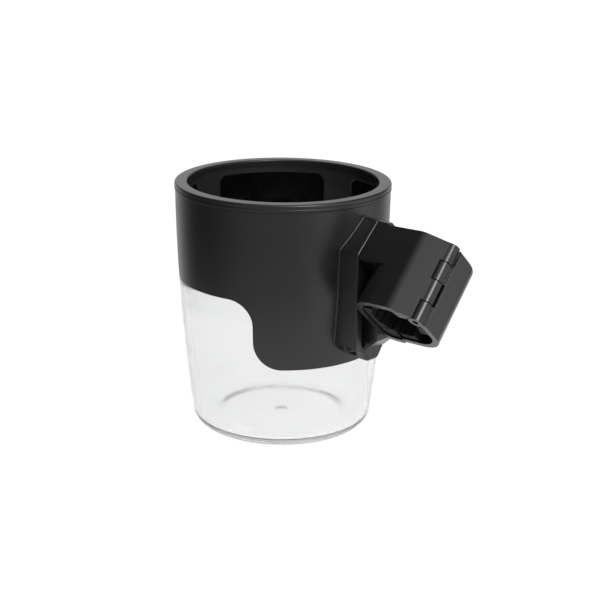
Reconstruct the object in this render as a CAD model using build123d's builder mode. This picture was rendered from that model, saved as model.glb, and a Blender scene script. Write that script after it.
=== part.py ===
"""Clip-on cup holder: clear tumbler, black sleeve and liner, dock, and a hinged tube clamp.

All lengths are millimetres. The origin is the centre of the cup's base and +Z runs up the cup.
+X points straight out of the dock towards the clamp, and the clamp's collar leans towards +Y,
so it grips a tube that is tilted in the Y-Z plane.
"""

import os
from math import cos, radians, sin, sqrt

from build123d import *

os.makedirs("parts", exist_ok=True)

# ---- Cup: the outer curve is a shallow arc that stands vertical at the rim
CUP_HEIGHT = 104.5
WALL_TOP_RADIUS = 44.75
WALL_ARC_RADIUS = 795.0
CUP_WALL = 2.6
BASE_CORNER_RADIUS = 5.0
FLOOR_THICKNESS = 3.1
FLOOR_CORNER_RADIUS = 2.7
BASE_RECESS_RADIUS = 27.0
BASE_RECESS_DEPTH = 0.6
GATE_MARK_RADIUS = 2.75
GATE_MARK_DEPTH = 0.25
HAIR_GAP = 0.05

# ---- Sleeve: stepped lower edge, low under the dock and high all round the rest
SLEEVE_THICKNESS = 1.2
SLEEVE_TOP = 101.15
SLEEVE_HIGH_EDGE = 64.4
SLEEVE_LOW_EDGE = 35.7
STEP_ANGLE = 61.8
STEP_UPPER_RADIUS = 10.5
STEP_LOWER_RADIUS = 11.5
STEP_REACH = 14.0
STEP_SECTOR_ANGLE = 77.0
CUTTER_REACH = 90.0

# ---- Rim ring and gasket
RIM_OUTER_RADIUS = 45.0
RIM_INNER_RADIUS = 39.8
RIM_BOTTOM = 101.3
RIM_INNER_FILLET = 0.7
RIM_OUTER_FILLET = 0.9
RIM_GROOVE_DEPTH = 0.35
RIM_GROOVE_BOTTOM = 102.4
RIM_GROOVE_TOP = 102.9
GASKET_HEIGHT = 0.6
GASKET_INNER_RADIUS = 42.3
GASKET_OUTER_RADIUS = 43.3

# ---- Liner and its four windows
LINER_THICKNESS = 1.7
LINER_BOTTOM = 66.0
WINDOW_COUNT = 4
WINDOW_BOTTOM = 71.0
WINDOW_TOP = 98.8
WINDOW_HALF_WIDTH = 23.1
WINDOW_CORNER_RADIUS = 3.0
WINDOW_FIRST_ANGLE = -37.7
PANEL_GAP = 0.1
PANEL_FACE_STEP = 0.35

# ---- Dock: gable-topped channel, open at the bottom and slotted in front
DOCK_FACE_X = 52.4
DOCK_ROOT_X = 38.0
DOCK_HALF_WIDTH = 12.3
DOCK_BOTTOM = 46.0
DOCK_SHOULDER = 85.2
DOCK_SHOULDER_RADIUS = 0.8
DOCK_RIDGE_RADIUS = 1.6
DOCK_EDGE_RADIUS = 0.7
CHANNEL_BACK_X = 46.6
CHANNEL_FRONT_X = 50.2
CHANNEL_HALF_WIDTH = 10.6
CHANNEL_TOP = 80.3
SLOT_HALF_WIDTH = 8.8
SLOT_TOP = 74.3

# ---- Release tab: a bail under the dock, on an arm that runs up behind the tongue
TAB_BACK_X = 44.2
TAB_THICKNESS = 1.4
TAB_ARM_HALF_WIDTH = 8.0
TAB_ARM_TOP = 59.4
TAB_TOP = 45.6
TAB_HALF_WIDTH = 11.4
TAB_DEPTH = 6.4
TAB_EYE_TOP = 44.6
TAB_EYE_HALF_WIDTH = 9.7
TAB_EYE_DEPTH = 4.0
TAB_PIVOT_X = 45.05
TAB_PIVOT_Z = 58.0
TAB_BOSS_RADIUS = 1.3
TAB_PIN_RADIUS = 0.6
TAB_PIN_CLEARANCE = 0.06
TAB_PIN_HALF_LENGTH = 9.6
TAB_SLOT_HALF_WIDTH = 8.4
TAB_SLOT_TOP = 60.2
SPRING_BOTTOM = 48.5
SPRING_TOP = 54.5
SPRING_END_X = 43.35
SPRING_CROWN_X = 43.95
SPRING_THICKNESS = 0.2
SPRING_HALF_WIDTH = 2.5

# ---- Bracket: tongue in the channel, rib and neck through the slot, foot below the dock
TONGUE_BACK_X = 46.9
TONGUE_FRONT_X = 49.9
TONGUE_HALF_WIDTH = 10.3
TONGUE_TOP = 80.0
TONGUE_TOP_CHAMFER = 2.5
TONGUE_BOTTOM = 46.3
FOOT_TOP_HALF_WIDTH = 8.7
FOOT_BOTTOM = 38.1
FOOT_BOTTOM_HALF_WIDTH = 3.2
FOOT_CORNER_RADIUS = 2.6
FOOT_EDGE_RADIUS = 1.6
RIB_FRONT_X = 51.5
RIB_BOTTOM = 43.6
RIB_HALF_WIDTH = 6.2
NECK_FRONT_X = 58.2
NECK_TOP = 74.0
NECK_BOTTOM = 49.5
HEAD_BACK_X = 52.8
HEAD_FRONT_X = 58.2
HEAD_BASE = 83.6

# ---- Collar: its section is drawn square to the tube; U runs along +X, V down the lean
COLLAR_TILT = 43.4
COLLAR_TURN = 2.7
COLLAR_LENGTH = 33.6
BORE_MOUTH = (72.4, -13.08, 61.88)
BORE_RADIUS = 10.0
JAW_WALL = 2.5
JAW_BACK_U = -14.8
JAW_FRONT_U = 9.0
JAW_TOP_V = -15.0
JAW_BOTTOM_V = 17.3
JAW_TOP_BACK_RADIUS = 11.0
JAW_BEND_RADIUS = 6.5
JAW_BOTTOM_RADIUS = 7.0
JAW_FRONT_END_V = -8.0
JAW_CUT_REACH = 30.0
LIP_END_U = -4.4
SHOULDER_START = 17.2
SHOULDER_BACK_U = -18.0
SHOULDER_FRONT_U = -3.5

# ---- Hinge: gate and jaw knuckles take turns along the collar, counted from the mouth
HINGE_U = 13.1
HINGE_V = -6.5
KNUCKLE_RADIUS = 3.1
KNUCKLE_CLEARANCE = 0.35
KNUCKLE_END_GAP = 0.3
GATE_KNUCKLES = ((0.0, 8.2), (17.8, 25.7))
JAW_KNUCKLES = ((8.5, 17.5), (26.0, 33.6))
BRIDGE_TOP = (5.75, -14.1)
BRIDGE_INNER = (4.5, -12.0)
BRIDGE_SHOULDER = (13.6, -9.55)
PIN_RADIUS = 1.2
PIN_CLEARANCE = 0.05
PIN_RECESS = 1.2

# ---- Gate: one wall down the outside, turned under the tube by a large radius
GATE_WALL = 2.6
GATE_OUTER_U = 17.0
GATE_BOTTOM_V = 15.9
GATE_CORNER_RADIUS = 12.0
GATE_TOP_V = -4.8
GATE_TIP_U = -4.0
GATE_END_FILLET = 2.2

# ---- Soft pads: they line the collar out to a round bore, with fluted faces
PAD_END_INSET = 0.8
FLUTE_RADIUS = 0.5
FLUTE_STEP = 20.0
TOP_PAD_WINDOW = (-5.9, 4.2, -14.0, -4.0)
BACK_PAD_WINDOW = (-14.0, -4.0, -7.6, 7.6)
LOW_PAD_WINDOW = (-12.5, -5.2, 8.2, 18.0)
GATE_SIDE_PAD_WINDOW = (7.0, 15.0, -1.0, 5.0)
GATE_LOW_PAD_WINDOW = (-3.0, 4.0, 7.0, 15.0)


def wall_radius(height, inset=0.0):
    """Radius of the cup's outer curve at a height, less an inset."""
    below_rim = CUP_HEIGHT - height
    sag = WALL_ARC_RADIUS - sqrt(WALL_ARC_RADIUS**2 - below_rim**2)
    return WALL_TOP_RADIUS - sag - inset


def wall_arc(start, end, inset=0.0):
    """Arc along the cup's outer curve between two heights, for an X-Z sketch."""
    middle = (start + end) / 2
    points = [(wall_radius(height, inset), height) for height in (start, middle, end)]
    return ThreePointArc(*points)


def wall_shell(low, high, outer_inset, inner_inset):
    """Ring between two insets of the cup's curve, from one height to another."""
    with BuildPart() as shell:
        with BuildSketch(Plane.XZ):
            with BuildLine():
                wall_arc(low, high, outer_inset)
                Line((wall_radius(high, outer_inset), high), (wall_radius(high, inner_inset), high))
                wall_arc(high, low, inner_inset)
                Line((wall_radius(low, inner_inset), low), (wall_radius(low, outer_inset), low))
            make_face()
        revolve(axis=Axis.Z)
    return shell.part


def rounded_outline(corners):
    """Closed outline through (x, y, radius) corners, each turned by a tangent arc."""
    arcs = []
    for index, (x, y, radius) in enumerate(corners):
        here = Vector(x, y)
        before = Vector(*corners[index - 1][:2])
        after = Vector(*corners[(index + 1) % len(corners)][:2])
        back = (before - here).normalized()
        on = (after - here).normalized()
        half_angle = radians(back.get_angle(on) / 2)
        run = radius * cos(half_angle) / sin(half_angle)
        middle = here + (back + on).normalized() * (radius / sin(half_angle) - radius)
        arcs.append((here + back * run, middle, here + on * run, radius))
    for index, (start, middle, end, radius) in enumerate(arcs):
        if radius:
            ThreePointArc(start, middle, end)
        Line(end, arcs[(index + 1) % len(arcs)][0])


def half_ellipse(top, half_width, depth):
    """Lower half of an ellipse hung from a level line across X = 0."""
    EllipticalCenterArc((0, top), half_width, depth, start_angle=180, arc_size=180)
    Line((half_width, top), (-half_width, top))


def radial_plane(angle):
    """Plane through the cup's axis that faces outwards at an angle, with its own Y up."""
    outward = (cos(radians(angle)), sin(radians(angle)), 0)
    tangent = (-sin(radians(angle)), cos(radians(angle)), 0)
    return Plane(origin=(0, 0, 0), x_dir=tangent, z_dir=outward)


def step_cutter(grow):
    """Cutter for both S-shaped steps of the sleeve's lower edge; grow widens what stays."""
    high = SLEEVE_HIGH_EDGE - grow
    low = SLEEVE_LOW_EDGE - grow
    upper = STEP_UPPER_RADIUS
    lower = STEP_LOWER_RADIUS
    with BuildPart() as cutter:
        with BuildSketch(radial_plane(STEP_ANGLE)):
            with BuildLine():
                Line((STEP_REACH, high), (grow + upper, high))
                CenterArc((grow + upper, high - upper), upper, 90, 90)
                Line((grow, high - upper), (grow, low + lower))
                CenterArc((grow - lower, low + lower), lower, 0, -90)
                Polyline((grow - lower, low), (grow - lower, 0), (STEP_REACH, 0), (STEP_REACH, high))
            make_face()
        extrude(amount=CUTTER_REACH)
        mirror(about=Plane.XZ)
    return cutter.part


def back_cutter(top):
    """Block up to a height, round the side of the cup away from the dock."""
    corner_x = CUTTER_REACH * cos(radians(STEP_SECTOR_ANGLE))
    corner_y = CUTTER_REACH * sin(radians(STEP_SECTOR_ANGLE))
    far = -CUTTER_REACH
    with BuildPart() as cutter:
        with BuildSketch(Plane.XY):
            with BuildLine():
                Polyline(
                    (0, 0),
                    (corner_x, corner_y),
                    (far, -far),
                    (far, far),
                    (corner_x, -corner_y),
                    close=True,
                )
            make_face()
        extrude(amount=top)
    return cutter.part


def sleeve_shape(top, outer_inset, inner_inset, grow):
    """The sleeve's solid or, grown a little, the pocket that it sits in."""
    with BuildPart() as shape:
        add(wall_shell(SLEEVE_LOW_EDGE - grow, top, outer_inset, inner_inset))
        add(step_cutter(grow), mode=Mode.SUBTRACT)
        add(back_cutter(SLEEVE_HIGH_EDGE - grow), mode=Mode.SUBTRACT)
    return shape.part


def window_block(angle, shrink):
    """Rounded rectangle pushed out through the liner at one window's angle."""
    width = 2 * (WINDOW_HALF_WIDTH - shrink)
    height = WINDOW_TOP - WINDOW_BOTTOM - 2 * shrink
    centre = (WINDOW_TOP + WINDOW_BOTTOM) / 2
    with BuildPart() as block:
        with BuildSketch(radial_plane(angle)):
            with Locations((0, centre)):
                RectangleRounded(width, height, WINDOW_CORNER_RADIUS)
        extrude(amount=CUTTER_REACH)
    return block.part


def window_angle(index):
    """Angle of one window's middle, round the cup."""
    return WINDOW_FIRST_ANGLE + index * 360 / WINDOW_COUNT


def collar_plane(along):
    """Plane square to the tube, a distance along the collar from its mouth."""
    tilt = radians(COLLAR_TILT)
    turn = radians(COLLAR_TURN)
    lean = Vector(-sin(turn), sin(tilt) * cos(turn), cos(tilt) * cos(turn))
    across = Vector(cos(turn), sin(tilt) * sin(turn), cos(tilt) * sin(turn))
    return Plane(origin=Vector(*BORE_MOUTH) + lean * along, x_dir=across, z_dir=lean)


def collar_top_height(y):
    """Height at which the collar's flat top face passes over a given Y."""
    tilt = radians(COLLAR_TILT)
    along = (y - BORE_MOUTH[1] - JAW_TOP_V * cos(tilt)) / sin(tilt)
    return BORE_MOUTH[2] + along * cos(tilt) - JAW_TOP_V * sin(tilt)


def jaw_cavity():
    """Corners of the fixed jaw's inner outline."""
    left = JAW_BACK_U + JAW_WALL
    right = JAW_FRONT_U - JAW_WALL
    top = JAW_TOP_V + JAW_WALL
    bottom = JAW_BOTTOM_V - JAW_WALL
    return (
        (left, top, JAW_TOP_BACK_RADIUS - JAW_WALL),
        (right, top, JAW_BEND_RADIUS - JAW_WALL),
        (right, bottom, 0),
        (left, bottom, JAW_BOTTOM_RADIUS - JAW_WALL),
    )


def gate_cavity():
    """Corners of the gate's inner outline, open past its top and its tip."""
    right = GATE_OUTER_U - GATE_WALL
    bottom = GATE_BOTTOM_V - GATE_WALL
    left = GATE_TIP_U - GATE_WALL
    top = GATE_TOP_V - GATE_WALL
    return (
        (left, top, 0),
        (right, top, 0),
        (right, bottom, GATE_CORNER_RADIUS - GATE_WALL),
        (left, bottom, 0),
    )


def pad(cavity, window):
    """Soft pad between the collar's wall and the bore, inside a window of U and V."""
    left, right, top, bottom = window
    with BuildPart() as body:
        with BuildSketch(collar_plane(PAD_END_INSET)):
            with BuildLine():
                rounded_outline(cavity)
            make_face()
            with Locations(((left + right) / 2, (top + bottom) / 2)):
                Rectangle(right - left, bottom - top, mode=Mode.INTERSECT)
            Circle(BORE_RADIUS, mode=Mode.SUBTRACT)
            with PolarLocations(BORE_RADIUS, round(360 / FLUTE_STEP)):
                Circle(FLUTE_RADIUS, mode=Mode.SUBTRACT)
        extrude(amount=COLLAR_LENGTH - 2 * PAD_END_INSET)
    return body.part


# ---------------------------------------------------------------- cup, sleeve, rim and liner
cup_top = RIM_BOTTOM - GASKET_HEIGHT
sleeve_pocket = sleeve_shape(CUP_HEIGHT, -CUP_WALL, SLEEVE_THICKNESS + HAIR_GAP, HAIR_GAP)

with BuildPart() as clear_cup:
    with BuildSketch(Plane.XZ):
        with BuildLine():
            Line((0, 0), (wall_radius(0), 0))
            wall_arc(0, cup_top)
            Line((wall_radius(cup_top), cup_top), (wall_radius(cup_top, CUP_WALL), cup_top))
            wall_arc(cup_top, FLOOR_THICKNESS, CUP_WALL)
            Polyline(
                (wall_radius(FLOOR_THICKNESS, CUP_WALL), FLOOR_THICKNESS),
                (0, FLOOR_THICKNESS),
                (0, 0),
            )
        make_face()
    revolve(axis=Axis.Z)
    floor_face = clear_cup.faces().filter_by(GeomType.PLANE).sort_by(Axis.Z)[1]
    fillet(floor_face.edges(), FLOOR_CORNER_RADIUS)
    base_face = clear_cup.faces().filter_by(GeomType.PLANE).sort_by(Axis.Z)[0]
    fillet(base_face.edges(), BASE_CORNER_RADIUS)
    with BuildSketch(Plane.XY):
        Circle(BASE_RECESS_RADIUS)
    extrude(amount=BASE_RECESS_DEPTH, mode=Mode.SUBTRACT)
    with BuildSketch(Plane.XY.offset(BASE_RECESS_DEPTH)):
        Circle(GATE_MARK_RADIUS)
    extrude(amount=GATE_MARK_DEPTH, mode=Mode.SUBTRACT)
    add(sleeve_pocket, mode=Mode.SUBTRACT)
clear_cup.part.label = "clear_cup"
export_step(clear_cup.part, "parts/clear_cup.step")

with BuildPart() as outer_sleeve:
    add(sleeve_shape(SLEEVE_TOP, 0, SLEEVE_THICKNESS, 0))
outer_sleeve.part.label = "outer_sleeve"
export_step(outer_sleeve.part, "parts/outer_sleeve.step")

with BuildPart() as rim_ring:
    groove_radius = RIM_OUTER_RADIUS - RIM_GROOVE_DEPTH
    with BuildSketch(Plane.XZ):
        with BuildLine():
            rounded_outline((
                (RIM_INNER_RADIUS, RIM_BOTTOM, 0),
                (RIM_OUTER_RADIUS, RIM_BOTTOM, 0),
                (RIM_OUTER_RADIUS, RIM_GROOVE_BOTTOM, 0),
                (groove_radius, RIM_GROOVE_BOTTOM, 0),
                (groove_radius, RIM_GROOVE_TOP, 0),
                (RIM_OUTER_RADIUS, RIM_GROOVE_TOP, 0),
                (RIM_OUTER_RADIUS, CUP_HEIGHT, RIM_OUTER_FILLET),
                (RIM_INNER_RADIUS, CUP_HEIGHT, RIM_INNER_FILLET),
            ))
        make_face()
    revolve(axis=Axis.Z)
rim_ring.part.label = "rim_ring"
export_step(rim_ring.part, "parts/rim_ring.step")

with BuildPart() as rim_gasket:
    with BuildSketch(Plane.XY.offset(cup_top)):
        Circle(GASKET_OUTER_RADIUS)
        Circle(GASKET_INNER_RADIUS, mode=Mode.SUBTRACT)
    extrude(amount=GASKET_HEIGHT)
rim_gasket.part.label = "rim_gasket"
export_step(rim_gasket.part, "parts/rim_gasket.step")

liner_outer_inset = CUP_WALL + HAIR_GAP
with BuildPart() as grip_liner:
    add(wall_shell(LINER_BOTTOM, RIM_BOTTOM, liner_outer_inset, liner_outer_inset + LINER_THICKNESS))
    for index in range(WINDOW_COUNT):
        add(window_block(window_angle(index), 0), mode=Mode.SUBTRACT)
grip_liner.part.label = "grip_liner"
export_step(grip_liner.part, "parts/grip_liner.step")

panel_inner_inset = liner_outer_inset + LINER_THICKNESS - PANEL_FACE_STEP
for index in range(WINDOW_COUNT):
    with BuildPart() as window_panel:
        add(wall_shell(WINDOW_BOTTOM, WINDOW_TOP, liner_outer_inset + HAIR_GAP, panel_inner_inset))
        add(window_block(window_angle(index), PANEL_GAP), mode=Mode.INTERSECT)
    window_panel.part.label = f"window_panel_{index + 1}"
    export_step(window_panel.part, f"parts/window_panel_{index + 1}.step")

# ---------------------------------------------------------------- dock and release tab
dock_apex = DOCK_SHOULDER + DOCK_HALF_WIDTH
channel_height = CHANNEL_TOP - DOCK_BOTTOM

with BuildPart() as cup_plug:
    with BuildSketch(Plane.XZ):
        with BuildLine():
            Line((0, 0), (wall_radius(0), 0))
            wall_arc(0, CUP_HEIGHT)
            Polyline((wall_radius(CUP_HEIGHT), CUP_HEIGHT), (0, CUP_HEIGHT), (0, 0))
        make_face()
    revolve(axis=Axis.Z)

with BuildPart() as dock_housing:
    with BuildSketch(Plane.YZ.offset(DOCK_ROOT_X)):
        with BuildLine():
            rounded_outline((
                (-DOCK_HALF_WIDTH, DOCK_BOTTOM, 0),
                (DOCK_HALF_WIDTH, DOCK_BOTTOM, 0),
                (DOCK_HALF_WIDTH, DOCK_SHOULDER, DOCK_SHOULDER_RADIUS),
                (0, dock_apex, DOCK_RIDGE_RADIUS),
                (-DOCK_HALF_WIDTH, DOCK_SHOULDER, DOCK_SHOULDER_RADIUS),
            ))
        make_face()
    extrude(amount=DOCK_FACE_X - DOCK_ROOT_X)
    fillet(dock_housing.faces().sort_by(Axis.X)[-1].edges(), DOCK_EDGE_RADIUS)
    add(cup_plug.part, mode=Mode.SUBTRACT)
    with BuildSketch(Plane.XY.offset(DOCK_BOTTOM)):
        with Locations(((CHANNEL_BACK_X + CHANNEL_FRONT_X) / 2, 0)):
            Rectangle(CHANNEL_FRONT_X - CHANNEL_BACK_X, 2 * CHANNEL_HALF_WIDTH)
    extrude(amount=channel_height, mode=Mode.SUBTRACT)
    with BuildSketch(Plane.XY.offset(DOCK_BOTTOM)):
        with Locations(((CHANNEL_BACK_X + DOCK_FACE_X) / 2, 0)):
            Rectangle(DOCK_FACE_X - CHANNEL_BACK_X, 2 * SLOT_HALF_WIDTH)
    extrude(amount=SLOT_TOP - DOCK_BOTTOM, mode=Mode.SUBTRACT)
    with BuildSketch(Plane.XY.offset(DOCK_BOTTOM)):
        with Locations(((DOCK_ROOT_X + CHANNEL_FRONT_X) / 2, 0)):
            Rectangle(CHANNEL_FRONT_X - DOCK_ROOT_X, 2 * TAB_SLOT_HALF_WIDTH)
    extrude(amount=TAB_SLOT_TOP - DOCK_BOTTOM, mode=Mode.SUBTRACT)
    with BuildSketch(Plane.XZ):
        with Locations((TAB_PIVOT_X, TAB_PIVOT_Z)):
            Circle(TAB_PIN_RADIUS)
    extrude(amount=TAB_PIN_HALF_LENGTH, both=True, mode=Mode.SUBTRACT)
dock_housing.part.label = "dock_housing"
export_step(dock_housing.part, "parts/dock_housing.step")

with BuildPart() as release_tab:
    with BuildSketch(Plane.YZ.offset(TAB_BACK_X)):
        with BuildLine():
            half_ellipse(TAB_TOP, TAB_HALF_WIDTH, TAB_DEPTH)
        make_face()
        with Locations((0, (TAB_TOP + TAB_ARM_TOP) / 2)):
            Rectangle(2 * TAB_ARM_HALF_WIDTH, TAB_ARM_TOP - TAB_TOP)
        with BuildLine():
            half_ellipse(TAB_EYE_TOP, TAB_EYE_HALF_WIDTH, TAB_EYE_DEPTH)
        make_face(mode=Mode.SUBTRACT)
    extrude(amount=TAB_THICKNESS)
    with BuildSketch(Plane.XZ):
        with Locations((TAB_PIVOT_X, TAB_PIVOT_Z)):
            Circle(TAB_BOSS_RADIUS)
    extrude(amount=TAB_ARM_HALF_WIDTH, both=True)
    with BuildSketch(Plane.XZ):
        with Locations((TAB_PIVOT_X, TAB_PIVOT_Z)):
            Circle(TAB_PIN_RADIUS + TAB_PIN_CLEARANCE)
    extrude(amount=TAB_HALF_WIDTH, both=True, mode=Mode.SUBTRACT)
release_tab.part.label = "release_tab"
export_step(release_tab.part, "parts/release_tab.step")

with BuildPart() as release_pin:
    with BuildSketch(Plane.XZ):
        with Locations((TAB_PIVOT_X, TAB_PIVOT_Z)):
            Circle(TAB_PIN_RADIUS)
    extrude(amount=TAB_PIN_HALF_LENGTH, both=True)
release_pin.part.label = "release_pin"
export_step(release_pin.part, "parts/release_pin.step")

spring_middle = (SPRING_BOTTOM + SPRING_TOP) / 2
with BuildPart() as release_spring:
    with BuildSketch(Plane.XZ):
        with BuildLine():
            back_low = (SPRING_END_X, SPRING_BOTTOM)
            back_high = (SPRING_END_X, SPRING_TOP)
            front_low = (SPRING_END_X + SPRING_THICKNESS, SPRING_BOTTOM)
            front_high = (SPRING_END_X + SPRING_THICKNESS, SPRING_TOP)
            ThreePointArc(back_low, (SPRING_CROWN_X, spring_middle), back_high)
            Line(back_high, front_high)
            ThreePointArc(front_high, (SPRING_CROWN_X + SPRING_THICKNESS, spring_middle), front_low)
            Line(front_low, back_low)
        make_face()
    extrude(amount=SPRING_HALF_WIDTH, both=True)
release_spring.part.label = "release_spring"
export_step(release_spring.part, "parts/release_spring.step")

# ---------------------------------------------------------------- bracket with the fixed jaw
tongue_thickness = TONGUE_FRONT_X - TONGUE_BACK_X
chamfer_y = TONGUE_HALF_WIDTH - TONGUE_TOP_CHAMFER
chamfer_z = TONGUE_TOP - TONGUE_TOP_CHAMFER
head_apex = collar_top_height(0)
head_low_side = collar_top_height(-DOCK_HALF_WIDTH)

with BuildPart() as bracket:
    with BuildSketch(Plane.YZ.offset(TONGUE_BACK_X)):
        with BuildLine():
            rounded_outline((
                (-FOOT_TOP_HALF_WIDTH, TONGUE_BOTTOM, 0),
                (-FOOT_BOTTOM_HALF_WIDTH, FOOT_BOTTOM, FOOT_CORNER_RADIUS),
                (FOOT_BOTTOM_HALF_WIDTH, FOOT_BOTTOM, FOOT_CORNER_RADIUS),
                (FOOT_TOP_HALF_WIDTH, TONGUE_BOTTOM, 0),
            ))
        make_face()
    extrude(amount=RIB_FRONT_X - TONGUE_BACK_X)
    fillet(bracket.faces().sort_by(Axis.X)[-1].edges(), FOOT_EDGE_RADIUS)
    with BuildSketch(Plane.YZ.offset(TONGUE_BACK_X)):
        with BuildLine():
            Polyline(
                (-TONGUE_HALF_WIDTH, TONGUE_BOTTOM),
                (TONGUE_HALF_WIDTH, TONGUE_BOTTOM),
                (TONGUE_HALF_WIDTH, chamfer_z),
                (chamfer_y, TONGUE_TOP),
                (-chamfer_y, TONGUE_TOP),
                (-TONGUE_HALF_WIDTH, chamfer_z),
                close=True,
            )
        make_face()
    extrude(amount=tongue_thickness)
    with BuildSketch(Plane.XZ.offset(-RIB_HALF_WIDTH)):
        with BuildLine():
            Polyline(
                (TONGUE_FRONT_X, RIB_BOTTOM),
                (RIB_FRONT_X, RIB_BOTTOM),
                (NECK_FRONT_X, NECK_BOTTOM),
                (NECK_FRONT_X, NECK_TOP),
                (TONGUE_FRONT_X, NECK_TOP),
                close=True,
            )
        make_face()
    extrude(amount=2 * RIB_HALF_WIDTH)
    with BuildSketch(Plane.YZ.offset(HEAD_BACK_X)):
        with BuildLine():
            rounded_outline((
                (-DOCK_HALF_WIDTH, HEAD_BASE, 0),
                (DOCK_HALF_WIDTH, HEAD_BASE, 0),
                (DOCK_HALF_WIDTH, head_apex - DOCK_HALF_WIDTH, 0),
                (0, head_apex, DOCK_RIDGE_RADIUS),
                (-DOCK_HALF_WIDTH, head_low_side, 0),
            ))
        make_face()
    extrude(amount=HEAD_FRONT_X - HEAD_BACK_X)
    with BuildSketch(collar_plane(SHOULDER_START)):
        with Locations(((SHOULDER_BACK_U + SHOULDER_FRONT_U) / 2, JAW_TOP_V + JAW_WALL / 2)):
            Rectangle(SHOULDER_FRONT_U - SHOULDER_BACK_U, JAW_WALL)
    extrude(amount=COLLAR_LENGTH - SHOULDER_START)
    with BuildSketch(collar_plane(0)):
        with BuildLine():
            rounded_outline((
                (JAW_BACK_U, JAW_TOP_V, JAW_TOP_BACK_RADIUS),
                (JAW_FRONT_U, JAW_TOP_V, JAW_BEND_RADIUS),
                (JAW_FRONT_U, JAW_BOTTOM_V, 0),
                (JAW_BACK_U, JAW_BOTTOM_V, JAW_BOTTOM_RADIUS),
            ))
        make_face()
    extrude(amount=COLLAR_LENGTH)
    with BuildSketch(collar_plane(0)):
        with BuildLine():
            rounded_outline(jaw_cavity())
        make_face()
        with BuildLine():
            Polyline(
                (LIP_END_U, JAW_FRONT_END_V),
                (JAW_CUT_REACH, JAW_FRONT_END_V),
                (JAW_CUT_REACH, JAW_CUT_REACH),
                (LIP_END_U, JAW_CUT_REACH),
                close=True,
            )
        make_face()
    extrude(amount=COLLAR_LENGTH, mode=Mode.SUBTRACT)
    with BuildSketch(collar_plane(0)):
        with BuildLine():
            Polyline(
                BRIDGE_INNER,
                BRIDGE_TOP,
                BRIDGE_SHOULDER,
                (HINGE_U, HINGE_V),
                (JAW_FRONT_U, JAW_FRONT_END_V),
                (JAW_FRONT_U - JAW_WALL, JAW_FRONT_END_V),
                close=True,
            )
        make_face()
    extrude(amount=COLLAR_LENGTH)
    for start, end in GATE_KNUCKLES:
        with BuildSketch(collar_plane(start - KNUCKLE_END_GAP)):
            with Locations((HINGE_U, HINGE_V)):
                Circle(KNUCKLE_RADIUS + KNUCKLE_CLEARANCE)
        extrude(amount=end - start + 2 * KNUCKLE_END_GAP, mode=Mode.SUBTRACT)
    for start, end in JAW_KNUCKLES:
        with BuildSketch(collar_plane(start)):
            with Locations((HINGE_U, HINGE_V)):
                Circle(KNUCKLE_RADIUS)
        extrude(amount=end - start)
    with BuildSketch(collar_plane(0)):
        with Locations((HINGE_U, HINGE_V)):
            Circle(PIN_RADIUS)
    extrude(amount=COLLAR_LENGTH, mode=Mode.SUBTRACT)
bracket.part.label = "bracket"
export_step(bracket.part, "parts/bracket.step")

# ---------------------------------------------------------------- gate, hinge pin and pads
with BuildPart() as gate:
    with BuildSketch(collar_plane(0)):
        with BuildLine():
            rounded_outline((
                (GATE_TIP_U, GATE_TOP_V, 0),
                (GATE_OUTER_U, GATE_TOP_V, 0),
                (GATE_OUTER_U, GATE_BOTTOM_V, GATE_CORNER_RADIUS),
                (GATE_TIP_U, GATE_BOTTOM_V, 0),
            ))
        make_face()
    extrude(amount=COLLAR_LENGTH)
    far_end = Axis(BORE_MOUTH, collar_plane(0).z_dir)
    end_edges = gate.faces().sort_by(far_end)[-1].edges()
    outer_point = collar_plane(COLLAR_LENGTH).from_local_coords((GATE_OUTER_U, GATE_BOTTOM_V, 0))
    fillet(end_edges.sort_by_distance(outer_point)[:3], GATE_END_FILLET)
    with BuildSketch(collar_plane(0)):
        with BuildLine():
            rounded_outline(gate_cavity())
        make_face()
    extrude(amount=COLLAR_LENGTH, mode=Mode.SUBTRACT)
    with BuildSketch(collar_plane(0)):
        with Locations((HINGE_U, HINGE_V)):
            Circle(KNUCKLE_RADIUS + KNUCKLE_CLEARANCE)
    extrude(amount=COLLAR_LENGTH, mode=Mode.SUBTRACT)
    for start, end in GATE_KNUCKLES:
        with BuildSketch(collar_plane(start)):
            with Locations((HINGE_U, HINGE_V)):
                Circle(KNUCKLE_RADIUS)
            with BuildLine():
                Polyline(
                    (HINGE_U, HINGE_V),
                    (GATE_OUTER_U, GATE_TOP_V),
                    (GATE_OUTER_U, GATE_TOP_V + GATE_WALL),
                    (GATE_OUTER_U - GATE_WALL, GATE_TOP_V + GATE_WALL),
                    close=True,
                )
            make_face()
        extrude(amount=end - start)
    with BuildSketch(collar_plane(0)):
        with Locations((HINGE_U, HINGE_V)):
            Circle(PIN_RADIUS + PIN_CLEARANCE)
    extrude(amount=COLLAR_LENGTH, mode=Mode.SUBTRACT)
gate.part.label = "gate"
export_step(gate.part, "parts/gate.step")

with BuildPart() as hinge_pin:
    with BuildSketch(collar_plane(PIN_RECESS)):
        with Locations((HINGE_U, HINGE_V)):
            Circle(PIN_RADIUS)
    extrude(amount=COLLAR_LENGTH - 2 * PIN_RECESS)
hinge_pin.part.label = "hinge_pin"
export_step(hinge_pin.part, "parts/hinge_pin.step")

PADS = {
    "jaw_pad_top": (jaw_cavity(), TOP_PAD_WINDOW),
    "jaw_pad_back": (jaw_cavity(), BACK_PAD_WINDOW),
    "jaw_pad_low": (jaw_cavity(), LOW_PAD_WINDOW),
    "gate_pad_side": (gate_cavity(), GATE_SIDE_PAD_WINDOW),
    "gate_pad_low": (gate_cavity(), GATE_LOW_PAD_WINDOW),
}
for pad_name, (cavity, window) in PADS.items():
    pad_part = pad(cavity, window)
    pad_part.label = pad_name
    export_step(pad_part, f"parts/{pad_name}.step")
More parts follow.
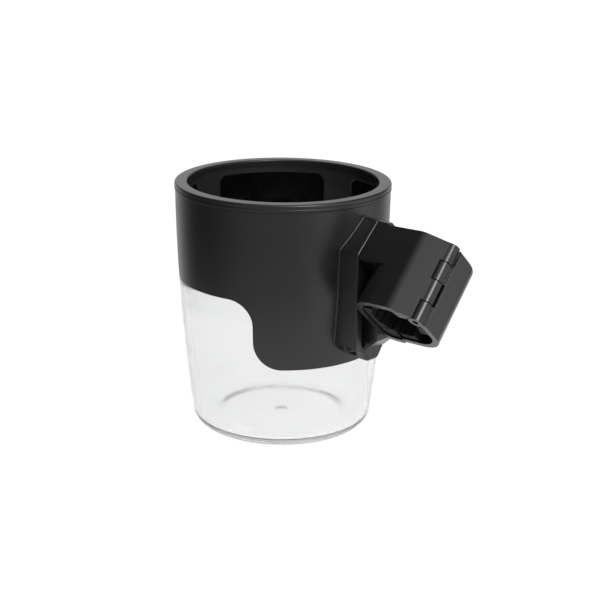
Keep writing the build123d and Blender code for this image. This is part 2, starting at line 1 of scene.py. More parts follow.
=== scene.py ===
"""Clip-on cup holder: finely meshed cup, sleeve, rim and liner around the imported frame.

Lengths in the shape code are millimetres, turned into metres when a mesh is made.
"""

from math import acos, asin, atan2, ceil, cos, degrees, pi, radians, sin, sqrt, tan

import bmesh
import bpy
from mathutils import Matrix, Vector


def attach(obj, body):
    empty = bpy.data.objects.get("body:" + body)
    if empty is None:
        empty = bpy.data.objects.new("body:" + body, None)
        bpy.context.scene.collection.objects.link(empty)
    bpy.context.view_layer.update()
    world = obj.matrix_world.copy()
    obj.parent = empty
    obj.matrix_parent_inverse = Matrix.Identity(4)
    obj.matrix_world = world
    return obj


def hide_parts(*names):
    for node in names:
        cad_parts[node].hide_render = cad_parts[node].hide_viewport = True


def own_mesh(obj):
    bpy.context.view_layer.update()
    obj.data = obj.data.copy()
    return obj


MM = 0.001

# ---- Cup
CUP_HEIGHT = 104.5
WALL_TOP_RADIUS = 44.75
WALL_ARC_RADIUS = 795.0
CUP_WALL = 2.6
CUP_TOP = 100.7
CUP_FACE_INSET = 0.05
CUP_NECK_INSET = 1.3
CUP_NECK_HEIGHT = 64.1
BASE_CORNER_RADIUS = 5.0
FLOOR_THICKNESS = 3.1
FLOOR_CORNER_RADIUS = 2.7
BASE_RECESS_RADII = (24.0, 30.0)
BASE_RECESS_DEPTH = 0.6
GATE_MARK_RADIUS = 2.75
GATE_MARK_DEPTH = 0.25
SOFT_EDGE = 0.25
WALL_ROW = 3.0

# ---- Sleeve
SLEEVE_THICKNESS = 1.2
SLEEVE_TOP = 101.15
SLEEVE_HIGH_EDGE = 64.4
SLEEVE_LOW_EDGE = 35.7
STEP_ANGLE = 61.8
STEP_UPPER_RADIUS = 10.5
STEP_LOWER_RADIUS = 11.5
STEP_FAN = (-3.0, -0.6)
SLEEVE_ROWS = 26

# ---- Rim ring
RIM_OUTER_RADIUS = 45.0
RIM_INNER_RADIUS = 39.8
RIM_BOTTOM = 101.3
RIM_INNER_FILLET = 0.7
RIM_OUTER_FILLET = 0.9
RIM_GROOVE_DEPTH = 0.35
RIM_GROOVE_BOTTOM = 102.4
RIM_GROOVE_TOP = 102.9

# ---- Liner and its window panels
LINER_OUTER_INSET = 2.65
LINER_INNER_INSET = 4.35
LINER_BOTTOM = 66.0
LINER_TOP = 101.3
PANEL_INNER_INSET = 4.0
PANEL_GAP = 0.1
WINDOW_COUNT = 4
WINDOW_BOTTOM = 71.0
WINDOW_TOP = 98.8
WINDOW_HALF_WIDTH = 23.1
WINDOW_CORNER_RADIUS = 3.0
WINDOW_FIRST_ANGLE = -37.7

# ---- Dock's flange: it lies on the sleeve round the dock, as (offset, height proud of it) rings
DOCK_HALF_WIDTH = 12.3
FLANGE_BOTTOM = 46.6
DOCK_SHOULDER = 85.2
DOCK_SHOULDER_RADIUS = 0.8
DOCK_RIDGE_RADIUS = 1.6
FLANGE_RINGS = (
    (0.55, -1.0),
    (0.55, 0.35),
    (0.5, 0.55),
    (0.36, 0.68),
    (0.15, 0.75),
    (-0.5, 0.75),
    (-0.5, -1.0),
)
FLANGE_STEP = 2.0

# ---- Leaf spring behind the release tab
SPRING_END_X = 43.35
SPRING_CROWN = 0.6
SPRING_THICKNESS = 0.2
SPRING_HALF_WIDTH = 2.5
SPRING_BOTTOM = 48.5
SPRING_TOP = 54.5
SPRING_COLUMNS = 6
SPRING_ROWS = 18

# ---- Mesh fineness
LATHE_STEPS = 288
ARC_STEPS = 8
STEP_ARC_STEPS = 24
SLOPE_STEPS = 16
LOW_EDGE_COLUMNS = 30
HIGH_EDGE_COLUMNS = 68
WINDOW_COLUMNS = 28
PANEL_ROWS = 16
BAND_ROWS = 5
POST_COLUMNS = 8
POST_ROWS = 12
WELD_DISTANCE = 1e-6
SEAM_DISTANCE = 1e-4
FLAT_ANGLE = 0.6
EDGE_ANGLE = 32.0
EDGE_SEGMENTS = 2
FLAT_WEIGHT = 80
SLEEVE_EDGE = 0.22
PANEL_EDGE = 0.15
LINER_EDGE = 0.2

# ---- Materials: how far moulded plastic's roughness strays, small so that grazing light stays even
GLOSS_SPREAD = 0.01
NOISE_ROUGHNESS = 0.5
NOISE_SPAN = (0.3, 0.7)
TONE_SPAN = (0.32, 0.68)

# ---- Floor and studio: each soft panel is a direction, where it starts and is full, and its glow
FLOOR_RADIUS = 0.16
FLOOR_STEPS = 96
FLOOR_HEIGHT = -0.0002
FLOOR_GLOW = 0.94
STUDIO_FILL = 0.1
STUDIO_WHITE = 1.07
SOFT_PANELS = (
    ((-0.65, 0.69, -0.31), 0.45, 0.92, 0.85),
    ((0.9, 0.45, -0.1), 0.6, 0.95, 1.0),
    ((0.5, -0.2, 0.85), 0.6, 0.95, 0.8),
    ((0.55, -0.75, -0.35), 0.3, 1.0, 0.38),
)

# ---- Soft boxes: name, place, what it points at, size and power
SOFT_BOXES = (
    ("key_softbox", (0.55, -0.2, 0.52), (0.05, 0, 0.07), (0.24, 0.2), 2.9),
    ("back_softbox", (-0.5, 0.35, 0.75), (0, 0, 0.07), (0.4, 0.4), 1.2),
)

# ---- Camera: the photograph's place, turned to look down at the cup
CAMERA_PLACE = (0.36455, -0.37752, 0.2229)
CAMERA_DOWN = 18.044
CAMERA_YAW = 0.825
CAMERA_ROLL = 0.654
PHOTO_TURN = 44.0
LENS = 77.5
SENSOR = 36.0
CLIP_START = 0.01

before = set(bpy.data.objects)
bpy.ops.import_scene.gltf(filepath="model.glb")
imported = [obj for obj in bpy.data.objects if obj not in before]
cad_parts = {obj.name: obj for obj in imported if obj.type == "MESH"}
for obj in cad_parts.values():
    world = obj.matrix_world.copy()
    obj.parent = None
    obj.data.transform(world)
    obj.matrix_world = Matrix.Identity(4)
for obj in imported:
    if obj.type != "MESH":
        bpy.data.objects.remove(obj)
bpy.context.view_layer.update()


# ---------------------------------------------------------------- shapes
def wall_radius(height, inset=0.0):
    """Radius of the cup's outer curve at a height, less an inset."""
    below_rim = CUP_HEIGHT - height
    sag = WALL_ARC_RADIUS - sqrt(WALL_ARC_RADIUS**2 - below_rim**2)
    return WALL_TOP_RADIUS - sag - inset


def wall_points(low, high, inset):
    """Points up the cup's outer curve, as sharp corners of a profile."""
    rows = ceil((high - low) / WALL_ROW)
    heights = [low + (high - low) * row / rows for row in range(rows + 1)]
    return [(wall_radius(height, inset), height, 0) for height in heights]


def rounded(corners):
    """Outline through (x, y, radius) corners, each radius turned into a tangent arc."""
    points = []
    count = len(corners)
    for index, (x, y, radius) in enumerate(corners):
        corner = Vector((x, y))
        if radius == 0:
            points.append(corner)
            continue
        back = (Vector(corners[index - 1][:2]) - corner).normalized()
        ahead = (Vector(corners[(index + 1) % count][:2]) - corner).normalized()
        half = acos(max(-1.0, min(1.0, back.dot(ahead)))) / 2
        centre = corner + (back + ahead).normalized() * radius / sin(half)
        first = corner + back * radius / tan(half) - centre
        last = corner + ahead * radius / tan(half) - centre
        start = atan2(first.y, first.x)
        sweep = atan2(first.cross(last), first.dot(last))
        for step in range(ARC_STEPS + 1):
            angle = start + sweep * step / ARC_STEPS
            points.append(centre + Vector((cos(angle), sin(angle))) * radius)
    return points


def new_piece(name, mesh, nodes):
    """Object from a bmesh in millimetres, riding the cup and standing in for CAD nodes."""
    bmesh.ops.recalc_face_normals(mesh, faces=mesh.faces)
    for vertex in mesh.verts:
        vertex.co *= MM
    data = bpy.data.meshes.new(name)
    mesh.to_mesh(data)
    mesh.free()
    piece = bpy.data.objects.new(name, data)
    bpy.context.scene.collection.objects.link(piece)
    for polygon in data.polygons:
        polygon.use_smooth = True
    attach(piece, "cup")
    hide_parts(*nodes)
    return piece


def soften(piece, width, weld=False):
    """Round the piece's sharp edges a little and shade its flats cleanly."""
    if weld:
        joined = piece.modifiers.new("weld", "WELD")
        joined.merge_threshold = WELD_DISTANCE
        flats = piece.modifiers.new("flats", "DECIMATE")
        flats.decimate_type = "DISSOLVE"
        flats.angle_limit = radians(FLAT_ANGLE)
    edges = piece.modifiers.new("edges", "BEVEL")
    edges.width = width * MM
    edges.segments = EDGE_SEGMENTS
    edges.limit_method = "ANGLE"
    edges.angle_limit = radians(EDGE_ANGLE)
    edges.use_clamp_overlap = True
    shade_flats(piece)


def shade_flats(piece):
    """Shade by the larger faces, so that flats stay flat up to their rounded edges."""
    shade = piece.modifiers.new("shade", "WEIGHTED_NORMAL")
    shade.keep_sharp = True
    shade.weight = FLAT_WEIGHT


def lathe(name, profile, closed, nodes):
    """Turn a profile of (radius, height) points round the cup's axis."""
    mesh = bmesh.new()
    rings = []
    for radius, height in profile:
        if radius < WELD_DISTANCE:
            rings.append([mesh.verts.new((0, 0, height))] * LATHE_STEPS)
            continue
        ring = []
        for step in range(LATHE_STEPS):
            angle = 2 * pi * step / LATHE_STEPS
            ring.append(mesh.verts.new((radius * cos(angle), radius * sin(angle), height)))
        rings.append(ring)
    pairs = list(zip(rings, rings[1:]))
    if closed:
        pairs.append((rings[-1], rings[0]))
    for lower, upper in pairs:
        for step in range(LATHE_STEPS):
            ahead = (step + 1) % LATHE_STEPS
            corners = [lower[step], lower[ahead], upper[ahead], upper[step]]
            mesh.faces.new(list(dict.fromkeys(corners)))
    piece = new_piece(name, mesh, nodes)
    shade_flats(piece)
    return piece


def on_wall(x, height, angle, inset):
    """Point on the cup's curve, x to the side of the plane that faces an angle."""
    radius = wall_radius(height, inset)
    turn = radians(angle) + asin(x / radius)
    return Vector((radius * cos(turn), radius * sin(turn), height))


def shell(name, outer, inner, wraps, nodes):
    """Closed shell between two matching grids of points; a grid may wrap round."""
    mesh = bmesh.new()
    skins = [[[mesh.verts.new(point) for point in column] for column in grid] for grid in (outer, inner)]
    columns = len(outer)
    rows = len(outer[0])
    spans = columns if wraps else columns - 1
    for skin in skins:
        for column in range(spans):
            ahead = (column + 1) % columns
            for row in range(rows - 1):
                above = row + 1
                mesh.faces.new(
                    (skin[column][row], skin[ahead][row], skin[ahead][above], skin[column][above])
                )
    front, back = skins
    for column in range(spans):
        ahead = (column + 1) % columns
        for row in (0, rows - 1):
            mesh.faces.new((front[column][row], front[ahead][row], back[ahead][row], back[column][row]))
    if not wraps:
        for column in (0, columns - 1):
            for row in range(rows - 1):
                above = row + 1
                mesh.faces.new(
                    (front[column][row], front[column][above], back[column][above], back[column][row])
                )
    return new_piece(name, mesh, nodes)


# ---------------------------------------------------------------- clear cup
def recess_slope():
    """The soft slope from the recess under the base down to the ring that it stands on."""
    start, end = BASE_RECESS_RADII
    steps = SLOPE_STEPS
    slope = []
    for step in range(steps + 1):
        part = step / steps
        height = BASE_RECESS_DEPTH * (1 + cos(pi * part)) / 2
        slope.append((start + part * (end - start), height, 0))
    return slope


def make_cup():
    """Moulded clear vessel with a thick base, a recess under it and a small gate mark."""
    recess_top = BASE_RECESS_DEPTH
    mark_top = BASE_RECESS_DEPTH + GATE_MARK_DEPTH
    shoulder = CUP_NECK_HEIGHT + CUP_WALL
    outer = wall_points(BASE_CORNER_RADIUS + WALL_ROW, CUP_NECK_HEIGHT, CUP_FACE_INSET)
    neck = wall_points(shoulder, CUP_TOP, CUP_NECK_INSET)
    inner = wall_points(FLOOR_THICKNESS + FLOOR_CORNER_RADIUS + WALL_ROW, CUP_TOP, CUP_WALL)
    corners = [
        (0, mark_top, 0),
        (GATE_MARK_RADIUS, mark_top, 0),
        (GATE_MARK_RADIUS, recess_top, 0),
        *recess_slope(),
        (wall_radius(0, CUP_FACE_INSET), 0, BASE_CORNER_RADIUS),
        *outer,
        *neck,
        *reversed(inner),
        (wall_radius(FLOOR_THICKNESS, CUP_WALL), FLOOR_THICKNESS, FLOOR_CORNER_RADIUS),
        (0, FLOOR_THICKNESS, 0),
    ]
    return lathe("cup_vessel", rounded(corners), False, ["clear_cup"])


# ---------------------------------------------------------------- sleeve
def sleeve_step():
    """The S-step as (x, height, x at the sleeve's top) from its low to its high side."""
    low_centre = (-STEP_LOWER_RADIUS, SLEEVE_LOW_EDGE + STEP_LOWER_RADIUS)
    high_centre = (STEP_UPPER_RADIUS, SLEEVE_HIGH_EDGE - STEP_UPPER_RADIUS)
    fan_low, fan_high = STEP_FAN
    steps = STEP_ARC_STEPS
    points = []
    for step in range(steps + 1):
        part = step / steps
        angle = part * pi / 2
        x = low_centre[0] + STEP_LOWER_RADIUS * sin(angle)
        height = low_centre[1] - STEP_LOWER_RADIUS * cos(angle)
        points.append((x, height, low_centre[0] + part * (fan_low - low_centre[0])))
    for step in range(1, ARC_STEPS):
        part = step / ARC_STEPS
        height = low_centre[1] + part * (high_centre[1] - low_centre[1])
        points.append((0.0, height, fan_low + part * (fan_high - fan_low)))
    for step in range(steps + 1):
        part = step / steps
        angle = part * pi / 2
        x = high_centre[0] - STEP_UPPER_RADIUS * cos(angle)
        height = high_centre[1] + STEP_UPPER_RADIUS * sin(angle)
        points.append((x, height, fan_high + part * (high_centre[0] - fan_high)))
    return points


def sleeve_columns(inset):
    """Columns of points up the sleeve's face, all the way round the cup."""
    half = []
    low_half_angle = STEP_ANGLE - degrees(asin(STEP_LOWER_RADIUS / wall_radius(SLEEVE_LOW_EDGE, inset)))
    high_first = STEP_ANGLE + degrees(asin(STEP_UPPER_RADIUS / wall_radius(SLEEVE_HIGH_EDGE, inset)))
    for step in range(LOW_EDGE_COLUMNS):
        half.append(("turn", low_half_angle * step / LOW_EDGE_COLUMNS, SLEEVE_LOW_EDGE, 0))
    for x, height, x_top in sleeve_step():
        half.append(("step", x, height, x_top))
    for step in range(1, HIGH_EDGE_COLUMNS + 1):
        angle = high_first + (180 - high_first) * step / HIGH_EDGE_COLUMNS
        half.append(("turn", angle, SLEEVE_HIGH_EDGE, 0))
    columns = []
    for kind, place, bottom, place_top in half:
        column = []
        for row in range(SLEEVE_ROWS + 1):
            part = row / SLEEVE_ROWS
            height = bottom + part * (SLEEVE_TOP - bottom)
            if kind == "turn":
                column.append(on_wall(0, height, place, inset))
            else:
                column.append(on_wall(place + part * (place_top - place), height, STEP_ANGLE, inset))
        columns.append(column)
    mirrored = [[Vector((p.x, -p.y, p.z)) for p in column] for column in reversed(columns[1:-1])]
    return columns + mirrored


def make_sleeve():
    """Black sleeve, low under the dock and high round the rest, with S-steps between."""
    outer = sleeve_columns(0)
    inner = sleeve_columns(SLEEVE_THICKNESS)
    sleeve = shell("sleeve_shell", outer, inner, True, ["outer_sleeve"])
    soften(sleeve, SLEEVE_EDGE)
    return sleeve


# ---------------------------------------------------------------- rim, liner and windows
def make_rim():
    """Rim ring with rounded lips and a fine groove round its side."""
    groove_radius = RIM_OUTER_RADIUS - RIM_GROOVE_DEPTH
    edge = SOFT_EDGE / 2
    corners = [
        (RIM_INNER_RADIUS, RIM_BOTTOM, edge),
        (RIM_OUTER_RADIUS, RIM_BOTTOM, SOFT_EDGE),
        (RIM_OUTER_RADIUS, RIM_GROOVE_BOTTOM, edge),
        (groove_radius, RIM_GROOVE_BOTTOM, 0),
        (groove_radius, RIM_GROOVE_TOP, 0),
        (RIM_OUTER_RADIUS, RIM_GROOVE_TOP, edge),
        (RIM_OUTER_RADIUS, CUP_HEIGHT, RIM_OUTER_FILLET),
        (RIM_INNER_RADIUS, CUP_HEIGHT, RIM_INNER_FILLET),
    ]
    return lathe("rim_band", rounded(corners), True, ["rim_ring"])


def window_sizes(shrink):
    """A window's half width, lowest and highest height, and corner radius, less a gap all round."""
    side = WINDOW_HALF_WIDTH - shrink
    low = WINDOW_BOTTOM + shrink
    high = WINDOW_TOP - shrink
    radius = WINDOW_CORNER_RADIUS
    return side, low, high, radius


def column_limits(x, shrink):
    """Lower and upper height of a window's outline at one x."""
    side, low, high, radius = window_sizes(shrink)
    into_corner = max(0.0, abs(x) - (side - radius))
    drop = radius - sqrt(max(0.0, radius**2 - into_corner**2))
    return low + drop, high - drop


def window_places(shrink):
    """Places of a window's columns across it, close together in its corners."""
    side, _, _, radius = window_sizes(shrink)
    flat = side - radius
    corner = [flat + radius * sin(pi / 2 * step / ARC_STEPS) for step in range(ARC_STEPS + 1)]
    middle = [-flat + 2 * flat * step / WINDOW_COLUMNS for step in range(1, WINDOW_COLUMNS)]
    return [-x for x in reversed(corner)] + middle + corner


def make_window_panel(index):
    """One glossy panel, sunk a little behind the liner's face."""
    angle = WINDOW_FIRST_ANGLE + index * 360 / WINDOW_COUNT
    grids = []
    for inset in (LINER_OUTER_INSET, PANEL_INNER_INSET):
        grid = []
        for x in window_places(PANEL_GAP):
            low, high = column_limits(x, PANEL_GAP)
            heights = [low + (high - low) * row / PANEL_ROWS for row in range(PANEL_ROWS + 1)]
            grid.append([on_wall(x, height, angle, inset) for height in heights])
        grids.append(grid)
    name = f"window_{index + 1}"
    panel = shell(name, grids[0], grids[1], False, [f"window_panel_{index + 1}"])
    soften(panel, PANEL_EDGE)
    return panel


def make_liner():
    """Liner ring with four window openings, as columns that part round each window."""
    mesh = bmesh.new()
    sector = 360 / WINDOW_COUNT
    places = window_places(0)
    for index in range(WINDOW_COUNT):
        angle = WINDOW_FIRST_ANGLE + index * sector
        for low_side in (True, False):
            skins = []
            for inset in (LINER_OUTER_INSET, LINER_INNER_INSET):
                grid = []
                for x in places:
                    low, high = column_limits(x, 0)
                    start, end = (LINER_BOTTOM, low) if low_side else (high, LINER_TOP)
                    heights = [start + (end - start) * row / BAND_ROWS for row in range(BAND_ROWS + 1)]
                    grid.append([mesh.verts.new(on_wall(x, height, angle, inset)) for height in heights])
                skins.append(grid)
            stitch(mesh, skins)
        side = WINDOW_HALF_WIDTH
        low, high = column_limits(side, 0)
        post_heights = (
            [LINER_BOTTOM + (low - LINER_BOTTOM) * row / BAND_ROWS for row in range(BAND_ROWS)]
            + [low + (high - low) * row / POST_ROWS for row in range(POST_ROWS)]
            + [high + (LINER_TOP - high) * row / BAND_ROWS for row in range(BAND_ROWS + 1)]
        )
        skins = []
        for inset in (LINER_OUTER_INSET, LINER_INNER_INSET):
            grid = []
            for post in range(POST_COLUMNS + 1):
                part = post / POST_COLUMNS
                column = []
                for height in post_heights:
                    start = on_wall(side, height, angle, inset)
                    end = on_wall(-side, height, angle + sector, inset)
                    start_turn = atan2(start.y, start.x)
                    turn = (atan2(end.y, end.x) - start_turn) % (2 * pi)
                    radius = wall_radius(height, inset)
                    here = start_turn + part * turn
                    column.append(mesh.verts.new((radius * cos(here), radius * sin(here), height)))
                grid.append(column)
            skins.append(grid)
        stitch(mesh, skins)
        front, back = skins
        for column in (0, POST_COLUMNS):
            for row in range(BAND_ROWS, BAND_ROWS + POST_ROWS):
                above = row + 1
                mesh.faces.new(
                    (front[column][row], front[column][above], back[column][above], back[column][row])
                )
    bmesh.ops.remove_doubles(mesh, verts=mesh.verts, dist=SEAM_DISTANCE)
    inside = [face for face in mesh.faces if all(len(edge.link_faces) > 2 for edge in face.edges)]
    bmesh.ops.delete(mesh, geom=inside, context="FACES")
    liner = new_piece("liner_ring", mesh, ["grip_liner"])
    soften(liner, LINER_EDGE)
    return liner


def stitch(mesh, skins):
    """Faces of both skins of a patch, and of the strips between their long edges."""
    front, back = skins
    columns = len(front)
    rows = len(front[0])
    for skin in skins:
        for column in range(columns - 1):
            for row in range(rows - 1):
                mesh.faces.new(
                    (
                        skin[column][row],
                        skin[column + 1][row],
                        skin[column + 1][row + 1],
                        skin[column][row + 1],
                    )
                )
    for column in range(columns - 1):
        ahead = column + 1
        for row in (0, rows - 1):
            mesh.faces.new((front[column][row], front[ahead][row], back[ahead][row], back[column][row]))


# ---------------------------------------------------------------- dock's flange
def flange_path(offset):
    """Outline round the dock's sides and gable, moved outwards by an offset."""
    side = DOCK_HALF_WIDTH + offset
    shoulder = DOCK_SHOULDER + offset * tan(pi / 8)
    apex = shoulder + side
    return rounded(
        [
            (-side, FLANGE_BOTTOM, 0),
            (-side, shoulder, DOCK_SHOULDER_RADIUS + offset),
            (0, apex, DOCK_RIDGE_RADIUS + offset),
            (side, shoulder, DOCK_SHOULDER_RADIUS + offset),
            (side, FLANGE_BOTTOM, 0),
        ]
    )


def make_flange():
    """Narrow rounded flange that lies on the sleeve round the dock, open at the bottom."""
    mesh = bmesh.new()
    base = flange_path(0)
    splits = [ceil((ahead - here).length / FLANGE_STEP) for here, ahead in zip(base, base[1:])]
    rings = []
    for offset, proud in FLANGE_RINGS:
        path = flange_path(offset)
        places = [path[0]]
        for count, here, ahead in zip(splits, path, path[1:]):
            for step in range(1, count + 1):
                places.append(here.lerp(ahead, step / count))
        ring = []
        for y, height in places:
            x = sqrt(wall_radius(height) ** 2 - y**2) + proud
            ring.append(mesh.verts.new((x, y, height)))
        rings.append(ring)
    pairs = list(zip(rings, rings[1:])) + [(rings[-1], rings[0])]
    for lower, upper in pairs:
        for here in range(len(lower) - 1):
            mesh.faces.new((lower[here], lower[here + 1], upper[here + 1], upper[here]))
    for end in (0, -1):
        mesh.faces.new([ring[end] for ring in rings])
    return new_piece("dock_flange", mesh, [])


def make_spring():
    """Bowed leaf spring, built in the bowed shape it has before the release tab presses it flat."""
    half = (SPRING_TOP - SPRING_BOTTOM) / 2
    middle = (SPRING_TOP + SPRING_BOTTOM) / 2
    radius = (half**2 + SPRING_CROWN**2) / (2 * SPRING_CROWN)
    grids = []
    for thickness in (0, SPRING_THICKNESS):
        grid = []
        for column in range(SPRING_COLUMNS + 1):
            y = SPRING_HALF_WIDTH * (2 * column / SPRING_COLUMNS - 1)
            places = []
            for row in range(SPRING_ROWS + 1):
                height = SPRING_BOTTOM + 2 * half * row / SPRING_ROWS
                bow = sqrt(radius**2 - (height - middle) ** 2) - radius + SPRING_CROWN
                places.append(Vector((SPRING_END_X + bow + thickness, y, height)))
            grid.append(places)
        grids.append(grid)
    return shell("leaf_spring", grids[0], grids[1], False, ["release_spring"])


spring = make_spring()
flange = make_flange()
cup = make_cup()
sleeve = make_sleeve()
rim = make_rim()
liner = make_liner()
panels = [make_window_panel(index) for index in range(WINDOW_COUNT)]


# ---------------------------------------------------------------- materials
class Look:
    """A node material under construction, with its shader and its object coordinates."""

    def __init__(self, name):
        self.material = bpy.data.materials.new(name)
        self.material.use_nodes = True
        self.tree = self.material.node_tree
        self.shader = self.tree.nodes["Principled BSDF"]
        self.place = self.tree.nodes.new("ShaderNodeTexCoord").outputs["Object"]

    def set(self, **values):
        """Set the shader's own sockets by name, with underscores for spaces."""
        for name, value in values.items():
            self.shader.inputs[name.replace("_", " ")].default_value = value

    def link(self, source, target):
        """Join one socket to another."""
        self.tree.links.new(source, target)

    def noise(self, scale, detail, stretch=None):
        """Noise over the piece; stretch squeezes it along an axis."""
        texture = self.tree.nodes.new("ShaderNodeTexNoise")
        texture.inputs["Scale"].default_value = scale
        texture.inputs["Detail"].default_value = detail
        texture.inputs["Roughness"].default_value = NOISE_ROUGHNESS
        place = self.place
        if stretch is not None:
            mapping = self.tree.nodes.new("ShaderNodeMapping")
            mapping.inputs["Scale"].default_value = stretch
            self.link(place, mapping.inputs["Vector"])
            place = mapping.outputs["Vector"]
        self.link(place, texture.inputs["Vector"])
        return texture.outputs["Fac"]

    def vary(self, value, low, high, target):
        """Drive a number on the shader between two values by a noise."""
        start, end = NOISE_SPAN
        spread = self.tree.nodes.new("ShaderNodeMapRange")
        spread.inputs["From Min"].default_value = start
        spread.inputs["From Max"].default_value = end
        spread.inputs["To Min"].default_value = low
        spread.inputs["To Max"].default_value = high
        self.link(value, spread.inputs["Value"])
        self.link(spread.outputs["Result"], self.shader.inputs[target])

    def tones(self, value, dark, light):
        """Drive the base colour between two tones by a noise."""
        ramp = self.tree.nodes.new("ShaderNodeValToRGB")
        for stop, position, tone in zip(ramp.color_ramp.elements, TONE_SPAN, (dark, light)):
            stop.position = position
            stop.color = (*tone, 1)
        self.link(value, ramp.inputs["Fac"])
        self.link(ramp.outputs["Color"], self.shader.inputs["Base Color"])

    def bumps(self, *layers):
        """Stack bump layers of (height, strength, depth in mm) on the shader's normal."""
        normal = None
        for height, strength, depth in layers:
            bump = self.tree.nodes.new("ShaderNodeBump")
            bump.inputs["Strength"].default_value = strength
            bump.inputs["Distance"].default_value = depth * MM
            self.link(height, bump.inputs["Height"])
            if normal is not None:
                self.link(normal, bump.inputs["Normal"])
            normal = bump.outputs["Normal"]
        self.link(normal, self.shader.inputs["Normal"])


def moulded_plastic(name, dark, light, rough, grain, waviness):
    """Black moulded plastic: spark-eroded grain, faint flow waves and uneven gloss."""
    look = Look(name)
    look.set(IOR=1.5, Specular_IOR_Level=0.5)
    look.tones(look.noise(55.0, 3.0), dark, light)
    look.vary(look.noise(240.0, 5.0), rough - GLOSS_SPREAD, rough + GLOSS_SPREAD, "Roughness")
    look.bumps(
        (look.noise(38.0, 1.0), waviness, 0.35),
        (look.noise(3600.0, 3.0), grain, 0.012),
    )
    return look.material


def glossy_panel(name):
    """Polished black panel with faint wipe marks and a trace of orange peel."""
    look = Look(name)
    look.set(IOR=1.5, Coat_Weight=0.6, Coat_Roughness=0.04)
    look.tones(look.noise(45.0, 2.0), (0.0016, 0.0016, 0.0018), (0.0028, 0.0028, 0.003))
    look.vary(look.noise(300.0, 6.0, (1.0, 1.0, 0.25)), 0.08, 0.17, "Roughness")
    look.bumps((look.noise(160.0, 2.0), 0.05, 0.08))
    return look.material


def soft_rubber(name):
    """Matt rubber with a fine pebbled skin and slightly paler dust in it."""
    look = Look(name)
    look.set(IOR=1.48, Specular_IOR_Level=0.3, Sheen_Weight=0.04, Sheen_Roughness=0.5)
    look.tones(look.noise(420.0, 6.0), (0.003, 0.003, 0.003), (0.0055, 0.0055, 0.0055))
    look.vary(look.noise(700.0, 4.0), 0.62, 0.8, "Roughness")
    look.bumps((look.noise(2600.0, 4.0), 0.35, 0.03))
    return look.material


def brushed_steel(name):
    """Drawn steel with fine lines along Z and uneven polish."""
    look = Look(name)
    look.set(Metallic=1.0)
    look.tones(look.noise(900.0, 5.0, (1.0, 1.0, 0.06)), (0.42, 0.42, 0.43), (0.62, 0.62, 0.63))
    look.vary(look.noise(1500.0, 5.0, (1.0, 1.0, 0.05)), 0.22, 0.42, "Roughness")
    look.bumps((look.noise(2600.0, 3.0, (1.0, 1.0, 0.04)), 0.25, 0.01))
    return look.material


def clear_plastic(name):
    """Clear moulded polycarbonate with faint flow waves, hazier in places."""
    look = Look(name)
    look.set(IOR=1.47, Transmission_Weight=0.93)
    look.tones(look.noise(30.0, 2.0), (0.955, 0.958, 0.963), (0.968, 0.971, 0.975))
    look.vary(look.noise(120.0, 4.0), 0.07, 0.13, "Roughness")
    look.bumps((look.noise(26.0, 1.0), 0.035, 0.5))
    return look.material


CLEAR = clear_plastic("clear_polycarbonate")
SATIN = moulded_plastic("satin_black", (0.0072, 0.007, 0.0066), (0.0095, 0.0092, 0.0088), 0.34, 0.16, 0.05)
RIM = moulded_plastic("rim_black", (0.0085, 0.0084, 0.0082), (0.011, 0.0108, 0.0106), 0.32, 0.12, 0.03)
LINER = moulded_plastic("liner_black", (0.007, 0.007, 0.0072), (0.0095, 0.0095, 0.0098), 0.46, 0.3, 0.05)
CLAMP = moulded_plastic("clamp_black", (0.0066, 0.0065, 0.0063), (0.0092, 0.009, 0.0087), 0.3, 0.18, 0.015)
GLOSS = glossy_panel("gloss_black")
RUBBER = soft_rubber("soft_black")
STEEL = brushed_steel("steel")


def dress(piece, material):
    """Give a piece one material on all its faces."""
    piece.data.materials.clear()
    piece.data.materials.append(material)


FINISHES = (
    (cup, CLEAR),
    (sleeve, SATIN),
    (flange, SATIN),
    (spring, STEEL),
    (rim, RIM),
    (liner, LINER),
    *((panel, GLOSS) for panel in panels),
)
for piece, material in FINISHES:
    dress(piece, material)

# ---------------------------------------------------------------- carried-over CAD nodes
CARRIED = {
    "dock_housing": (SATIN, 0.2),
    "release_tab": (SATIN, 0.2),
    "bracket": (CLAMP, 0.3),
    "gate": (CLAMP, 0.3),
    "rim_gasket": (RUBBER, 0.05),
    "jaw_pad_top": (RUBBER, 0.12),
    "jaw_pad_back": (RUBBER, 0.12),
    "jaw_pad_low": (RUBBER, 0.12),
    "gate_pad_side": (RUBBER, 0.12),
    "gate_pad_low": (RUBBER, 0.12),
    "hinge_pin": (STEEL, 0.1),
    "release_pin": (STEEL, 0.08),
}
for node, (material, edge_width) in CARRIED.items():
    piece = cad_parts[node]
    dress(piece, material)
    for polygon in piece.data.polygons:
        polygon.use_smooth = True
        polygon.material_index = 0
    if "custom_normal" in piece.data.attributes:
        piece.data.attributes.remove(piece.data.attributes["custom_normal"])
    soften(piece, edge_width, weld=True)

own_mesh(spring)


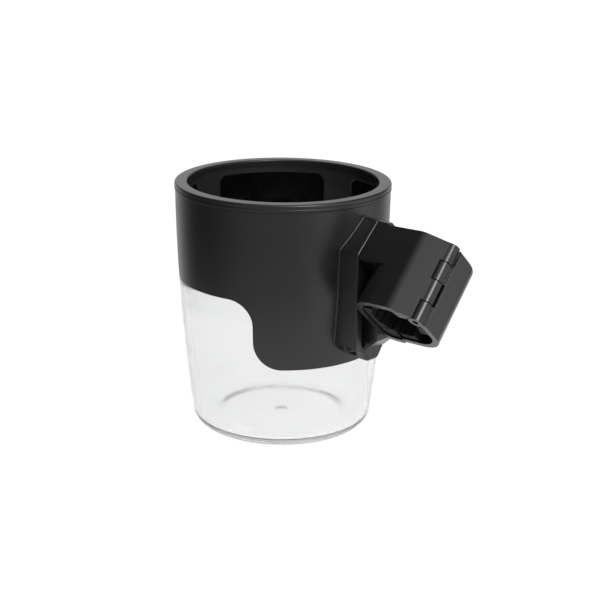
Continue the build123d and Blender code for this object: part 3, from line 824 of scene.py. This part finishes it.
# ---------------------------------------------------------------- floor, light and camera
def make_floor():
    """Plain pale floor, a disc under the cup that runs out into the pale studio."""
    mesh = bmesh.new()
    rim_points = []
    for step in range(FLOOR_STEPS):
        angle = 2 * pi * step / FLOOR_STEPS
        rim_points.append(mesh.verts.new((FLOOR_RADIUS * cos(angle), FLOOR_RADIUS * sin(angle), 0)))
    mesh.faces.new(rim_points)
    data = bpy.data.meshes.new("floor")
    mesh.to_mesh(data)
    mesh.free()
    floor = bpy.data.objects.new("floor", data)
    floor.location = (0, 0, FLOOR_HEIGHT)
    bpy.context.scene.collection.objects.link(floor)
    look = Look("pale_floor")
    look.tones(look.noise(9.0, 3.0), (0.09, 0.09, 0.09), (0.1, 0.1, 0.1))
    look.vary(look.noise(30.0, 3.0), 0.7, 0.8, "Roughness")
    look.set(Emission_Color=(1, 1, 1, 1), Emission_Strength=FLOOR_GLOW)
    dress(floor, look.material)


def make_world():
    """Pale studio: white behind the object, with soft panels of light round it."""
    world = bpy.data.worlds.new("studio")
    bpy.context.scene.world = world
    world.use_nodes = True
    tree = world.node_tree
    background = tree.nodes["Background"]
    background.inputs["Color"].default_value = (1, 1, 1, 1)
    place = tree.nodes.new("ShaderNodeTexCoord")
    total = None
    for axis, start, end, height in SOFT_PANELS:
        toward = tree.nodes.new("ShaderNodeVectorMath")
        toward.operation = "DOT_PRODUCT"
        toward.inputs[1].default_value = Vector(axis).normalized()
        tree.links.new(place.outputs["Generated"], toward.inputs[0])
        glow = tree.nodes.new("ShaderNodeMapRange")
        glow.interpolation_type = "SMOOTHSTEP"
        glow.inputs["From Min"].default_value = start
        glow.inputs["From Max"].default_value = end
        glow.inputs["To Min"].default_value = 0.0
        glow.inputs["To Max"].default_value = height
        tree.links.new(toward.outputs["Value"], glow.inputs["Value"])
        joined = tree.nodes.new("ShaderNodeMath")
        joined.operation = "ADD"
        joined.inputs[1].default_value = STUDIO_FILL
        tree.links.new(glow.outputs["Result"], joined.inputs[0])
        if total is not None:
            tree.links.new(total, joined.inputs[1])
        total = joined.outputs["Value"]
    path = tree.nodes.new("ShaderNodeLightPath")
    for ray in ("Is Camera Ray", "Is Transmission Ray"):
        white = tree.nodes.new("ShaderNodeMath")
        white.operation = "MULTIPLY"
        white.inputs[1].default_value = STUDIO_WHITE
        tree.links.new(path.outputs[ray], white.inputs[0])
        seen = tree.nodes.new("ShaderNodeMath")
        seen.operation = "MAXIMUM"
        tree.links.new(white.outputs["Value"], seen.inputs[0])
        tree.links.new(total, seen.inputs[1])
        total = seen.outputs["Value"]
    tree.links.new(total, background.inputs["Strength"])


def area_light(name, place, aim, size, power):
    """Soft rectangular light that points at a place."""
    data = bpy.data.lights.new(name, "AREA")
    data.shape = "RECTANGLE"
    data.size, data.size_y = size
    data.energy = power
    light = bpy.data.objects.new(name, data)
    light.location = place
    light.rotation_euler = (Vector(aim) - Vector(place)).to_track_quat("-Z", "Y").to_euler()
    bpy.context.scene.collection.objects.link(light)


def make_camera():
    """Camera at the photograph's place and angle."""
    down = radians(CAMERA_DOWN)
    yaw = radians(CAMERA_YAW)
    roll = radians(CAMERA_ROLL)
    ahead = Vector((sin(yaw) * cos(down), cos(yaw) * cos(down), -sin(down)))
    level = Vector((cos(yaw), -sin(yaw), 0))
    over = level.cross(ahead)
    right = cos(roll) * level + sin(roll) * over
    up = cos(roll) * over - sin(roll) * level
    turn = Matrix.Rotation(radians(PHOTO_TURN), 3, "Z")
    axes = [turn @ right, turn @ up, -(turn @ ahead)]
    data = bpy.data.cameras.new("camera")
    data.lens = LENS
    data.sensor_width = SENSOR
    data.clip_start = CLIP_START
    camera = bpy.data.objects.new("camera", data)
    placed = Matrix(axes).transposed().to_4x4()
    placed.translation = Vector(CAMERA_PLACE)
    camera.matrix_world = placed
    bpy.context.scene.collection.objects.link(camera)
    bpy.context.scene.camera = camera


make_floor()
make_world()
for name, place, aim, size, power in SOFT_BOXES:
    area_light(name, place, aim, size, power)
make_camera()
bpy.context.scene.view_settings.view_transform = "Standard"
